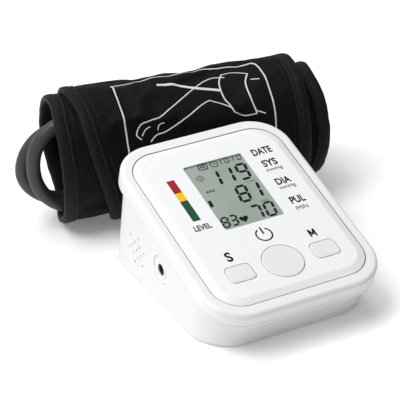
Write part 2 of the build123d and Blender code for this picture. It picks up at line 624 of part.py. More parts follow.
with BuildPart() as valve_plunger:
    with BuildSketch(facing_x(PLUNGER_X, SOCKET_Y, SOCKET_Z)):
        Circle(PLUNGER_R)
    extrude(amount=PLUNGER_L)
    chamfer(valve_plunger.edges().filter_by(GeomType.CIRCLE), 0.4)
save(valve_plunger.part, "valve_plunger")

with BuildPart() as speaker:
    with BuildSketch(facing_x(SPEAKER_X, SPEAKER_Y, SPEAKER_Z)):
        Circle(SPEAKER_R)
    extrude(amount=3.0)
    with BuildSketch(facing_x(SPEAKER_X + 3.0, SPEAKER_Y, SPEAKER_Z)):
        Circle(9.0)
    extrude(amount=2.4)
    with BuildSketch(facing_x(SPEAKER_X, SPEAKER_Y, SPEAKER_Z)):
        Circle(SPEAKER_R - 1.2)
    extrude(amount=1.0, mode=Mode.SUBTRACT)
save(speaker.part, "speaker")

# ================================================================ fasteners
with BuildPart() as case_screws:
    with BuildSketch(FACE.offset(SCREW_SEAT)):
        with GridLocations(2 * POST_U, 2 * POST_V, 2, 2):
            Circle(2.7)
    extrude(amount=-1.8)
    with BuildSketch(FACE.offset(SCREW_SEAT)):
        with GridLocations(2 * POST_U, 2 * POST_V, 2, 2):
            Circle(1.15)
    extrude(amount=14.0)
    with BuildSketch(FACE.offset(SCREW_SEAT - 1.8)):
        with GridLocations(2 * POST_U, 2 * POST_V, 2, 2):
            Rectangle(3.2, 0.7)
            Rectangle(0.7, 3.2)
    extrude(amount=1.0, mode=Mode.SUBTRACT)
save(case_screws.part, "case_screws")

with BuildPart() as board_screws:
    with BuildSketch(FACE.offset(BOARD_UNDER)):
        with Locations(*BOARD_SCREWS):
            Circle(1.9)
    extrude(amount=-1.3)
    with BuildSketch(FACE.offset(BOARD_UNDER)):
        with Locations(*BOARD_SCREWS):
            Circle(0.85)
    extrude(amount=5.4)
save(board_screws.part, "board_screws")

# ================================================================ cuff
wraps = {
    "cuff_outer_wrap": (OUTER_ENDS, OUTER_IN, -60.0),
    "cuff_middle_wrap": (MIDDLE_ENDS, MIDDLE_IN, -66.0),
    "cuff_inner_wrap": (INNER_ENDS, INNER_IN, -72.0),
}
for wrap_name, (ends, inset, slit_angle) in wraps.items():
    first, last = ends[0] + BIND_W, ends[1] - BIND_W
    with BuildPart() as wrap:
        with BuildSketch(roll_plane(first)):
            Ellipse(ROLL_A - inset, ROLL_B - inset)
            Ellipse(ROLL_A - inset - WRAP_T, ROLL_B - inset - WRAP_T, mode=Mode.SUBTRACT)
            with PolarLocations(ROLL_B - inset, 1, start_angle=slit_angle):
                Rectangle(12.0, SLIT, mode=Mode.SUBTRACT)
        extrude(amount=last - first)
        if wrap_name == "cuff_inner_wrap":
            # sewn loop that the pull-through ring hangs in
            with BuildSketch(roll_plane(RING_ENDS[0] + 10.0, RING_AWAY, RING_Z)):
                Circle(RING_R + 1.7)
            extrude(amount=RING_ENDS[1] - RING_ENDS[0] - 20.0)
            with BuildSketch(roll_plane(RING_ENDS[0] + 10.0, RING_AWAY, RING_Z)):
                Circle(RING_R + 0.08)
            extrude(amount=RING_ENDS[1] - RING_ENDS[0] - 20.0, mode=Mode.SUBTRACT)
    save(wrap.part, wrap_name)
    with BuildPart() as binding:
        for start in (ends[0], last):
            with BuildSketch(roll_plane(start)):
                outer_in = inset - BIND_PROUD
                inner_in = inset + WRAP_T + BIND_PROUD
                Ellipse(ROLL_A - outer_in, ROLL_B - outer_in)
                Ellipse(ROLL_A - inner_in, ROLL_B - inner_in, mode=Mode.SUBTRACT)
                with PolarLocations(ROLL_B - inset, 1, start_angle=slit_angle):
                    Rectangle(12.0, SLIT, mode=Mode.SUBTRACT)
            extrude(amount=BIND_W)
    save(binding.part, wrap_name.replace("wrap", "binding"))

with BuildPart() as hook_tape:
    with BuildSketch(roll_plane(HOOK_START)):
        Ellipse(ROLL_A - OUTER_IN - WRAP_T, ROLL_B - OUTER_IN - WRAP_T)
        Ellipse(ROLL_A - MIDDLE_IN + 0.2, ROLL_B - MIDDLE_IN + 0.2, mode=Mode.SUBTRACT)
        with Locations((-8.0, -ROLL_B)):
            Rectangle(36.0, 34.0, mode=Mode.INTERSECT)
    extrude(amount=HOOK_L)
save(hook_tape.part, "hook_tape")

with BuildPart() as cuff_bladder:
    with BuildSketch(roll_plane(BLADDER_START)):
        Ellipse(ROLL_A - MIDDLE_IN - WRAP_T - 0.2, ROLL_B - MIDDLE_IN - WRAP_T - 0.2)
        Ellipse(ROLL_A - INNER_IN + 0.3, ROLL_B - INNER_IN + 0.3, mode=Mode.SUBTRACT)
        with Locations((12.0, -ROLL_B)):
            Rectangle(30.0, 40.0, mode=Mode.SUBTRACT)
    extrude(amount=BLADDER_L)
save(cuff_bladder.part, "cuff_bladder")

ring_corners = [
    on_roll(RING_ENDS[0], RING_AWAY, RING_Z),
    on_roll(RING_ENDS[1], RING_AWAY, RING_Z),
    on_roll(RING_ENDS[1], RING_AWAY, RING_Z - RING_DROP),
    on_roll(RING_ENDS[0], RING_AWAY, RING_Z - RING_DROP),
]
with BuildPart() as pull_ring:
    with BuildLine() as ring_path:
        FilletPolyline(*ring_corners, radius=4.0, close=True)
    with BuildSketch(roll_plane(0.0, RING_AWAY, RING_Z)):
        Circle(RING_R)
    sweep(path=ring_path.wires()[0])
save(pull_ring.part, "pull_ring")

# ================================================================ hose of the cuff
# Two open turns stand out of the roll's left end; the rest lies in its hollow. Each point is
# the distance along the roll, across it, and the height.
TUBE_ROUTE = [
    (-27.0, 5.0, 15.6),
    (-52.0, 5.0, 15.0),
    (-77.0, 4.0, 11.2),
    (-95.5, 4.0, 25.0),
    (-96.0, 4.0, 46.0),
    (-82.0, 4.0, 61.5),
    (-58.0, 3.5, 64.0),
    (-38.0, 1.0, 52.5),
    (-35.0, -3.5, 29.0),
    (-52.0, -7.0, 13.0),
    (-75.0, -7.0, 12.0),
    (-91.0, -7.0, 27.0),
    (-92.0, -7.0, 52.0),
    (-76.0, -7.0, 68.5),
    (-53.0, -7.0, 66.8),
    (-30.0, -6.5, 63.0),
    (-3.0, -5.5, 65.0),
    (24.6, -4.0, 65.5),
    (39.5, -3.0, 50.9),
    (39.5, -4.0, 29.7),
    (24.6, -6.5, 17.2),
    (2.0, -6.5, 17.8),
]
tube_points = [on_roll(*point) for point in TUBE_ROUTE]
tube_radii = bend_radii(tube_points)
with BuildPart() as cuff_tube:
    with BuildLine() as tube_path:
        FilletPolyline(*tube_points, radius=tube_radii)
    with BuildSketch(run_plane(tube_points[0], tube_points[1])):
        Circle(TUBE_R)
    sweep(path=tube_path.wires()[0])
save(cuff_tube.part, "cuff_tube")
tube_length = tube_path.wires()[0].length
print("tube radii", [round(radius, 1) for radius in tube_radii])
print("tube length", round(tube_length, 1), "volume", round(cuff_tube.part.volume, 0))
print("section x length", round(3.14159 * TUBE_R**2 * tube_length, 0))

port_spot = on_roll(TUBE_ROUTE[0][0] + PORT_L - 5.0, TUBE_ROUTE[0][1], PORT_FLANGE_Z)
with BuildPart() as bladder_port:
    with BuildSketch(run_plane(tube_points[0], tube_points[1])):
        Circle(PORT_R)
    extrude(amount=-PORT_L)
    with BuildSketch(Plane(origin=port_spot)):
        Circle(4.0)
    extrude(amount=4.0)
    with BuildSketch(Plane(origin=port_spot)):
        Circle(PORT_FLANGE_R)
    extrude(amount=1.0)
save(bladder_port.part, "bladder_port")

plug_start = Vector(*tube_points[-1])
plug_way = (plug_start - Vector(*tube_points[-2])).normalized()
with BuildPart() as air_plug:
    with BuildSketch(Plane(origin=plug_start, z_dir=plug_way)):
        Circle(PLUG_R)
    extrude(amount=PLUG_L)
    fillet(air_plug.edges().filter_by(GeomType.CIRCLE), 0.8)
    with BuildSketch(Plane(origin=plug_start + plug_way * PLUG_L, z_dir=plug_way)):
        Circle(NOSE_R)
    extrude(amount=NOSE_L)
save(air_plug.part, "air_plug")
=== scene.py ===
"""Looks of the upper arm blood pressure monitor and its rolled cuff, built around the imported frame."""

import json
from math import cos, pi, radians, sin

import bpy
import numpy as np
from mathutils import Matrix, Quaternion, Vector, noise
from mathutils.bvhtree import BVHTree


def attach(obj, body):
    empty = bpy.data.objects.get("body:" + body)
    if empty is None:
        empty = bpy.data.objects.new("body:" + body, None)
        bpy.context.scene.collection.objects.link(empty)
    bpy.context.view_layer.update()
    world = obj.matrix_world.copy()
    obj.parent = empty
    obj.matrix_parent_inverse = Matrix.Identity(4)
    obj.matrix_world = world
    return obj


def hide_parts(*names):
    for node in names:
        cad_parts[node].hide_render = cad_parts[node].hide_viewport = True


MM = 0.001

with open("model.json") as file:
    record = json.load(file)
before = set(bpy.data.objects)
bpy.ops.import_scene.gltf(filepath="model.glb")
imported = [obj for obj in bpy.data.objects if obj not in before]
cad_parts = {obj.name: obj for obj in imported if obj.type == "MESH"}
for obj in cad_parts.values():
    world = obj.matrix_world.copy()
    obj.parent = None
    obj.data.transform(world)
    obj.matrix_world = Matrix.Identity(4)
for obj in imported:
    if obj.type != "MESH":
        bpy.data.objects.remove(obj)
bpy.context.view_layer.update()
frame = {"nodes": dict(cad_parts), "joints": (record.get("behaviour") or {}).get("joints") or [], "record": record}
nodes = frame["nodes"]


# ---------------------------------------------------------------- places taken from the frame
def joint(name):
    """A joint of the record, by name."""
    return next(j for j in frame["joints"] if j["name"] == name)


def points_of(node):
    """Every point of a CAD node."""
    return np.array([v.co for v in nodes[node].data.vertices], float)


# The face: u runs to the right, v up the slope, and w out of it
FACE_W = -Vector(joint("power_button_press")["axis"]).normalized()
FACE_U = Vector((1, 0, 0))
FACE_V = FACE_W.cross(FACE_U)
plate_points = points_of("face_plate")
plate_v, plate_w = plate_points @ np.array(FACE_V), plate_points @ np.array(FACE_W)
FACE_AT = FACE_V * (plate_v.min() + plate_v.max()) / 2 + FACE_W * plate_w.max()

# The roll: s runs along it to the right, away points from the monitor
AWAY = Vector(joint("cuff_lift_away")["axis"]).normalized()
ROLL_DIR = Vector((AWAY.y, -AWAY.x, 0))
ROLL_AT = Vector((18.2, 90.0, 0)) * MM  # the zero of s
binding_points = points_of("cuff_outer_binding")
ROLL_A = np.ptp(binding_points @ np.array(AWAY)) / 2
SETTLING = 0.6 * MM  # how far the cloth sinks below the middle of its CAD outline
ROLL_B = np.ptp(binding_points[:, 2]) / 2 - SETTLING


def on_face(u, v, w=0.0):
    """Point of the face from its coordinates in millimetres."""
    return FACE_AT + (FACE_U * u + FACE_V * v + FACE_W * w) * MM


def on_roll(s, away, z):
    """Point given by its distance along the roll, across it, and its height, in millimetres."""
    return ROLL_AT + (ROLL_DIR * s + AWAY * away) * MM + Vector((0, 0, z * MM))


# ---------------------------------------------------------------- node materials
class Finish:
    """A Principled material, with short ways to add procedural detail to it."""

    def __init__(self, name, colour, roughness, metallic=0.0):
        self.material = bpy.data.materials.new(name)
        self.material.use_nodes = True
        self.tree = self.material.node_tree
        self.shader = self.tree.nodes["Principled BSDF"]
        self.colour, self.height = colour, None
        self.shader.inputs["Base Color"].default_value = (*colour, 1)
        self.shader.inputs["Roughness"].default_value = roughness
        self.shader.inputs["Metallic"].default_value = metallic
        self.place = self.tree.nodes.new("ShaderNodeTexCoord")

    def node(self, kind, **values):
        """A new node. A value is set on the input of its name, or joined to it if it is a socket."""
        made = self.tree.nodes.new("ShaderNode" + kind)
        for name, value in values.items():
            spot = made.inputs[name.replace("_", " ")]
            if isinstance(value, bpy.types.NodeSocket):
                self.tree.links.new(value, spot)
            else:
                spot.default_value = value
        return made

    def stretched(self, scale, space="Object"):
        """Coordinates stretched by a scale for each axis."""
        return self.node("Mapping", Vector=self.place.outputs[space], Scale=scale).outputs[0]

    def noise(self, scale, detail=3.0, space="Object", stretch=(1, 1, 1)):
        """Noise, in cells to the metre."""
        where = self.stretched(stretch, space)
        return self.node("TexNoise", Vector=where, Scale=scale, Detail=detail).outputs["Fac"]

    def waves(self, period, direction="X", space="UV", distortion=0.0):
        """Parallel waves with a period in metres."""
        made = self.node("TexWave", Vector=self.place.outputs[space], Distortion=distortion)
        made.inputs["Scale"].default_value = 1 / (period * 3.1416)
        made.bands_direction = direction
        return made.outputs["Fac"]

    def math(self, operation, a, b):
        """One sum on two values or sockets."""
        made = self.tree.nodes.new("ShaderNodeMath")
        made.operation = operation
        for spot, value in zip(made.inputs, (a, b)):
            if isinstance(value, bpy.types.NodeSocket):
                self.tree.links.new(value, spot)
            else:
                spot.default_value = value
        return made.outputs[0]

    def ramp(self, factor, *stops):
        """Colours blended by a factor, each given with its place from 0 to 1."""
        made = self.node("ValToRGB", Fac=factor)
        for i, (place, colour) in enumerate(stops):
            stop = made.color_ramp.elements[i] if i < 2 else made.color_ramp.elements.new(place)
            stop.position = place
            stop.color = (*colour, 1)
        return made.outputs["Color"]

    def shade(self, factor, amount):
        """Vary the base colour about its own value."""
        low = tuple(c * (1 - amount) for c in self.colour)
        high = tuple(min(1.0, c * (1 + amount)) for c in self.colour)
        self.paint(self.ramp(factor, (0.25, low), (0.75, high)))
        return self

    def paint(self, colour):
        """Take the base colour from a socket."""
        self.tree.links.new(colour, self.shader.inputs["Base Color"])
        return self

    def rough(self, factor, low, high):
        """Take the roughness from a factor, between two values."""
        made = self.node("MapRange", Value=factor, To_Min=low, To_Max=high)
        self.tree.links.new(made.outputs[0], self.shader.inputs["Roughness"])
        return self

    def bump(self, height, depth, strength=1.0):
        """Add relief of a depth in metres, on top of any added before."""
        made = self.node("Bump", Height=height, Distance=depth, Strength=strength)
        if self.height:
            self.tree.links.new(self.height, made.inputs["Normal"])
        self.height = made.outputs[0]
        self.tree.links.new(self.height, self.shader.inputs["Normal"])
        return self

    def soft_edges(self, radius):
        """Round the look of sharp edges by a radius in metres."""
        made = self.tree.nodes.new("ShaderNodeBevel")
        made.samples = 4
        made.inputs["Radius"].default_value = radius
        self.height = made.outputs[0]
        return self

    def set(self, **values):
        """Set further inputs of the shader."""
        for name, value in values.items():
            self.shader.inputs[name.replace("_", " ")].default_value = value
        return self


def moulded(name, colour, roughness, grain=0.00002, grain_scale=2600, edge=0.0003):
    """Moulded plastic: a fine spark-eroded grain, faint flow marks and slightly uneven gloss."""
    finish = Finish(name, colour, roughness).soft_edges(edge)
    finish.bump(finish.noise(grain_scale, 2.0), grain, 0.5)
    finish.bump(finish.noise(45, 2.0), 0.0001, 0.12)
    finish.shade(finish.noise(28, 4.0), 0.012)
    return finish.rough(finish.noise(160, 4.0), roughness - 0.06, roughness + 0.06)


def rubbery(name, colour, roughness):
    """Matt rubber with a fine skin and dusty patches."""
    finish = Finish(name, colour, roughness)
    finish.bump(finish.noise(3200, 3.0), 0.00003, 0.5)
    finish.shade(finish.noise(120, 5.0), 0.14)
    return finish.rough(finish.noise(300, 4.0), roughness - 0.08, roughness + 0.08)


def steel(name, colour, roughness, grain=(1, 40, 40)):
    """Plated metal with a drawn grain and faint spots."""
    finish = Finish(name, colour, roughness, 1.0)
    finish.bump(finish.noise(700, 3.0, stretch=grain), 0.00001, 0.4)
    finish.shade(finish.noise(400, 4.0), 0.1)
    return finish.rough(finish.noise(260, 5.0), roughness - 0.08, roughness + 0.12)


def woven(name, colour, thread, roughness=0.62, depth=0.00012):
    """Cloth with two crossing sets of threads, a slub here and there, and a soft sheen."""
    finish = Finish(name, colour, roughness)
    across = finish.waves(thread, "X", distortion=0.4)
    along = finish.waves(thread, "Y", distortion=0.4)
    weave = finish.math("MULTIPLY", across, along)
    slubs = finish.noise(900, 4.0, stretch=(1, 6, 1))
    finish.bump(finish.noise(60, 4.0), 0.0012, 0.22)
    finish.bump(finish.math("ADD", weave, slubs), depth, 0.75)
    mixed = finish.math("ADD", finish.math("MULTIPLY", weave, 0.5), finish.noise(90, 5.0))
    finish.shade(mixed, 0.35)
    finish.rough(finish.noise(500, 3.0), roughness - 0.08, roughness + 0.1)
    return finish.set(Sheen_Weight=0.012, Sheen_Roughness=0.4, Specular_IOR_Level=0.1)


def ribbed_tape(name, colour):
    """Grosgrain tape: ribs across its length."""
    finish = Finish(name, colour, 0.55)
    ribs = finish.waves(0.0009, "Y")
    finish.bump(finish.noise(150, 3.0), 0.0006, 0.3)
    finish.bump(finish.math("ADD", ribs, finish.noise(2500, 2.0)), 0.00016, 0.8)
    finish.shade(finish.math("ADD", finish.math("MULTIPLY", ribs, 0.4), finish.noise(200, 4.0)), 0.4)
    return finish.set(Sheen_Weight=0.018, Sheen_Roughness=0.4, Specular_IOR_Level=0.14)


def printed(name, colour, roughness=0.4):
    """Screen printed ink: nearly flat, with a slightly uneven edge of gloss."""
    finish = Finish(name, colour, roughness)
    finish.bump(finish.noise(4000, 2.0), 0.00001, 0.4)
    finish.shade(finish.noise(700, 4.0), 0.08)
    return finish.rough(finish.noise(900, 3.0), roughness - 0.1, roughness + 0.1)


def lens():
    """Clear acrylic, seen by its reflections alone."""
    finish = Finish("clear_acrylic", (0.05, 0.055, 0.053), 0.05)
    finish.bump(finish.noise(35, 2.0), 0.0001, 0.05)
    finish.rough(finish.noise(200, 4.0), 0.04, 0.12)
    return finish.set(Alpha=0.07, Specular_IOR_Level=0.3)


def liquid_crystal():
    """Grey-green display glass: a faint pixel lattice over a backing that is lighter at one side."""
    finish = Finish("liquid_crystal", (0.43, 0.51, 0.46), 0.35)
    lattice = finish.math(
        "ADD", finish.waves(0.00045, "X", "Object"), finish.waves(0.00045, "Y", "Object")
    )
    tone = finish.math("ADD", finish.noise(32, 2.0), finish.math("MULTIPLY", lattice, 0.04))
    finish.paint(finish.ramp(tone, (0.35, (0.37, 0.44, 0.385)), (0.75, (0.47, 0.53, 0.475))))
    return finish.bump(finish.noise(2000, 2.0), 0.000005, 0.3)


def solder_mask():
    """Green circuit board with the shadow of its copper tracks."""
    finish = Finish("solder_mask", (0.02, 0.17, 0.06), 0.35)
    tracks = finish.tree.nodes.new("ShaderNodeTexBrick")
    tracks.inputs["Scale"].default_value = 260
    tracks.inputs["Mortar Size"].default_value = 0.09
    finish.tree.links.new(finish.place.outputs["Object"], tracks.inputs["Vector"])
    finish.paint(finish.ramp(tracks.outputs["Fac"], (0.3, (0.02, 0.15, 0.05)), (0.7, (0.05, 0.28, 0.1))))
    return finish.bump(tracks.outputs["Fac"], 0.00005, 0.5)


def cell_jacket():
    """Cell jacket in two plain bands, with a shrink film's ripples."""
    finish = Finish("cell_film", (0.04, 0.045, 0.05), 0.28)
    where = finish.node("SeparateXYZ", Vector=finish.place.outputs["Object"]).outputs["Y"]
    share = finish.node("MapRange", Value=where, From_Min=0.0, From_Max=0.05).outputs[0]
    finish.paint(finish.ramp(share, (0.24, (0.42, 0.25, 0.08)), (0.26, (0.03, 0.033, 0.038))))
    return finish.bump(finish.noise(500, 3.0), 0.00004, 0.4)


BLACK = (0.0032, 0.0032, 0.0036)
finishes = {
    "cover_plastic": moulded("cover_plastic_look", (0.81, 0.81, 0.805), 0.4),
    "plate_plastic": moulded("plate_plastic_look", (0.85, 0.85, 0.855), 0.36),
    "window_lens": lens(),
    "case_plastic": moulded("case_plastic_look", (0.79, 0.79, 0.78), 0.48, 0.00004, 1500),
    "foot_rubber": rubbery("foot_rubber_look", (0.03, 0.03, 0.03), 0.75),
    "button_plastic": moulded("button_plastic_look", (0.76, 0.765, 0.775), 0.42, 0.00003, 2000),
    "keypad_rubber": rubbery("keypad_rubber_look", (0.2, 0.21, 0.23), 0.6),
    "lcd_glass": liquid_crystal(),
    "inner_plastic": moulded("inner_plastic_look", (0.8, 0.79, 0.75), 0.5),
    "circuit_board": solder_mask(),
    "component_plastic": moulded("component_look", (0.02, 0.02, 0.021), 0.5, 0.00004, 3000, 0.0001),
    "cell_jacket": cell_jacket(),
    "contact_metal": steel("contact_look", (0.72, 0.7, 0.65), 0.25),
    "socket_plastic": moulded("socket_look", (0.8, 0.8, 0.79), 0.45, 0.00002, 2600, 0.0002),
    "clear_hose": rubbery("clear_hose_look", (0.7, 0.7, 0.64), 0.4),
    "motor_steel": steel("motor_look", (0.6, 0.6, 0.6), 0.3, (40, 1, 1)),
    "screw_steel": steel("screw_look", (0.5, 0.5, 0.52), 0.35),
    "cuff_fabric": woven("cuff_fabric_look", BLACK, 0.0006),
    "cuff_lining": woven("cuff_lining_look", (0.0035, 0.0035, 0.004), 0.0004, 0.8, 0.00018),
    "binding_tape": ribbed_tape("binding_look", (0.0045, 0.0045, 0.0052)),
    "hook_nylon": woven("hook_look", (0.012, 0.012, 0.013), 0.0012, 0.5, 0.0005),
    "bladder_film": rubbery("bladder_look", (0.05, 0.05, 0.055), 0.35),
    "ring_steel": steel("ring_look", (0.3, 0.3, 0.31), 0.3),
    "tube_rubber": rubbery("tube_look", (0.034, 0.034, 0.037), 0.5),
    "plug_plastic": moulded("plug_look", (0.03, 0.03, 0.032), 0.45),
}
for part in frame["record"]["subparts"]:
    mesh = nodes[part["node"]].data
    mesh.materials.clear()
    mesh.materials.append(finishes[part["material_slot"]].material)


# ---------------------------------------------------------------- mesh helpers
def add_piece(name, mesh, slot, look=None):
    """A new object of the scene, with its material: the look given, or else the finish of its record slot."""
    piece = bpy.data.objects.new(name, mesh)
    bpy.context.scene.collection.objects.link(piece)
    mesh.materials.append((look or finishes[slot]).material)
    return piece


def mesh_of(name, points, faces, smooth=True):
    """A mesh from its points and faces."""
    mesh = bpy.data.meshes.new(name)
    mesh.from_pydata([tuple(p) for p in points], [], [tuple(int(i) for i in f) for f in faces])
    mesh.polygons.foreach_set("use_smooth", [smooth] * len(mesh.polygons))
    mesh.update()
    return mesh


def grid_mesh(name, grid, uv=None):
    """A smooth sheet through a grid of points, rows by columns, with its flat size as its UV map."""
    rows, columns = grid.shape[:2]
    corner = (np.arange(rows - 1)[:, None] * columns + np.arange(columns - 1)).ravel()
    faces = np.stack([corner, corner + 1, corner + columns + 1, corner + columns], 1)
    mesh = mesh_of(name, grid.reshape(-1, 3), faces)
    if uv is not None:
        layer = mesh.uv_layers.new(name="flat")
        layer.data.foreach_set("uv", uv.reshape(-1, 2)[faces.ravel()].astype(np.float32).ravel())
    return mesh


def modify(piece, kind, **settings):
    """Add a modifier to a piece."""
    made = piece.modifiers.new(kind.lower(), kind)
    for name, value in settings.items():
        setattr(made, name, value)
    return made


def bake(piece):
    """Apply every modifier of a piece."""
    graph = bpy.context.evaluated_depsgraph_get()
    graph.update()
    mesh = bpy.data.meshes.new_from_object(piece.evaluated_get(graph), depsgraph=graph)
    piece.modifiers.clear()
    piece.data = mesh


# ---------------------------------------------------------------- lettering and segments
class Print:
    """Flat marks on the face, gathered into one piece. Coordinates are the face's, in millimetres."""

    def __init__(self, name, look, slot, height):
        self.name, self.look, self.slot, self.height = name, look, slot, height
        self.points, self.faces = [], []

    def polygon(self, outline):
        """One filled outline."""
        first = len(self.points)
        self.points += [on_face(u, v, self.height) for u, v in outline]
        self.faces.append(range(first, first + len(outline)))

    def bar(self, start, end, width):
        """A straight bar with pointed ends, as a display's segment is."""
        (u0, v0), (u1, v1) = start, end
        length = ((u1 - u0) ** 2 + (v1 - v0) ** 2) ** 0.5
        du, dv = (u1 - u0) / length * width / 2, (v1 - v0) / length * width / 2
        self.polygon([
            (u0, v0), (u0 + du + dv, v0 + dv - du), (u1 - du + dv, v1 - dv - du),
            (u1, v1), (u1 - du - dv, v1 - dv + du), (u0 + du - dv, v0 + dv + du),
        ])

    def arc(self, centre, radius, width, start=0.0, turn=360.0, steps=40):
        """Part of a ring."""
        angles = [radians(start + turn * i / steps) for i in range(steps + 1)]
        inner = [(centre[0] + (radius - width / 2) * cos(a), centre[1] + (radius - width / 2) * sin(a))
                 for a in angles]
        outer = [(centre[0] + (radius + width / 2) * cos(a), centre[1] + (radius + width / 2) * sin(a))
                 for a in angles]
        for i in range(steps):
            self.polygon([inner[i], outer[i], outer[i + 1], inner[i + 1]])

    def text(self, words, centre, size, weight):
        """Words fitted to a width and height about a centre."""
        curve = bpy.data.curves.new(words, "FONT")
        curve.body = words
        curve.offset = weight
        curve.resolution_u = 4
        holder = bpy.data.objects.new(words, curve)
        bpy.context.scene.collection.objects.link(holder)
        graph = bpy.context.evaluated_depsgraph_get()
        mesh = bpy.data.meshes.new_from_object(holder.evaluated_get(graph), depsgraph=graph)
        flat = np.array([v.co for v in mesh.vertices])[:, :2]
        low, high = flat.min(0), flat.max(0)
        fitted = ((flat - low) / (high - low) - 0.5) * np.array(size)
        first = len(self.points)
        for u, v in fitted:
            self.points.append(on_face(centre[0] + u, centre[1] + v, self.height))
        self.faces += [[first + i for i in polygon.vertices] for polygon in mesh.polygons]
        bpy.data.objects.remove(holder)

    def capital_m(self, centre, size, stroke):
        """The letter M, from four strokes."""
        (u, v), (half_u, half_v) = centre, (size[0] / 2, size[1] / 2)
        corners = [(u - half_u, v - half_v), (u - half_u, v + half_v), (u, v - half_v * 0.5),
                   (u + half_u, v + half_v), (u + half_u, v - half_v)]
        for start, end in zip(corners, corners[1:]):
            self.bar(start, end, stroke)

    def digit(self, shown, left, low, width, height, stroke, slant=0.139):
        """A seven-segment digit, from its lower left corner."""
        a, b, c = 0.0, height / 2, height
        ends = {
            "t": ((0, c), (width, c)), "m": ((0, b), (width, b)), "b": ((0, a), (width, a)),
            "tl": ((0, b), (0, c)), "tr": ((width, b), (width, c)),
            "bl": ((0, a), (0, b)), "br": ((width, a), (width, b)),
        }
        lit = {
            "0": "t b tl tr bl br", "1": "tr br", "3": "t m b tr br", "7": "t tr br",
            "8": "t m b tl tr bl br", "9": "t m b tl tr br",
        }
        gap = stroke * 0.12
        for name in lit[shown].split():
            (u0, v0), (u1, v1) = ends[name]
            du, dv = (gap, 0) if v0 == v1 else (0, gap)
            self.bar(
                (left + u0 + du + v0 * slant, low + v0 + dv),
                (left + u1 - du + v1 * slant, low + v1 - dv),
                stroke,
            )

    def finish(self, thickness=0.05):
        """Make the piece, with a little thickness."""
        flat = mesh_of(self.name, self.points, self.faces, False)
        piece = add_piece(self.name, flat, self.slot, self.look)
        modify(piece, "SOLIDIFY", thickness=thickness * MM, offset=0.0)
        bake(piece)
        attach(piece, "monitor")
        return piece


ink = printed("black_ink", (0.004, 0.004, 0.0045), 0.6).set(Specular_IOR_Level=0.15)
segment_ink = printed("segment_ink", (0.003, 0.0035, 0.0035), 0.6)
segment_ink.set(Specular_IOR_Level=0.1)


def face_lettering():
    """Generic labels round the display and above the keys."""
    marks = Print("face_lettering", ink, "component_plastic", 0.03)
    for words, centre, size in (
        ("DATE", (29.7, 38.9), (11.9, 5.1)), ("SYS", (29.4, 29.3), (8.8, 5.2)),
        ("DIA", (29.5, 14.5), (8.8, 4.9)), ("PUL", (29.8, -0.8), (8.7, 5.2)),
        ("S", (-25.6, -25.9), (3.6, 6.7)),
    ):
        marks.text(words, centre, size, 0.03)
    marks.text("mmHg", (29.7, 23.9), (9.7, 3.2), 0.004)
    marks.text("mmHg", (29.7, 9.4), (9.7, 3.2), 0.004)
    marks.text("/MIN", (28.9, -7.0), (7.5, 3.0), 0.0)
    marks.text("LEVEL", (-28.2, -2.0), (10.0, 3.9), 0.025)
    marks.capital_m((24.6, -25.8), (3.1, 5.7), 1.0)
    marks.arc((-0.1, -17.9), 4.4, 0.85, 118, 304)
    marks.bar((-0.1, -12.2), (-0.1, -17.7), 0.95)
    return marks.finish()


def level_bars():
    """Plain scale beside the display: high, middling and usual readings."""
    scale = (
        ("level_bar_high", (0.34, 0.006, 0.018), 24.9, 34.8),
        ("level_bar_middle", (0.9, 0.5, 0.004), 18.7, 24.9),
        ("level_bar_usual", (0.004, 0.075, 0.025), 3.2, 18.7),
    )
    for name, colour, low, high in scale:
        bar_ink = printed(name + "_ink", colour).set(Specular_IOR_Level=0.2)
        marks = Print(name, bar_ink, "plate_plastic", 0.03)
        marks.polygon([(-31.0, low), (-26.5, low), (-26.5, high), (-31.0, high)])
        marks.finish()


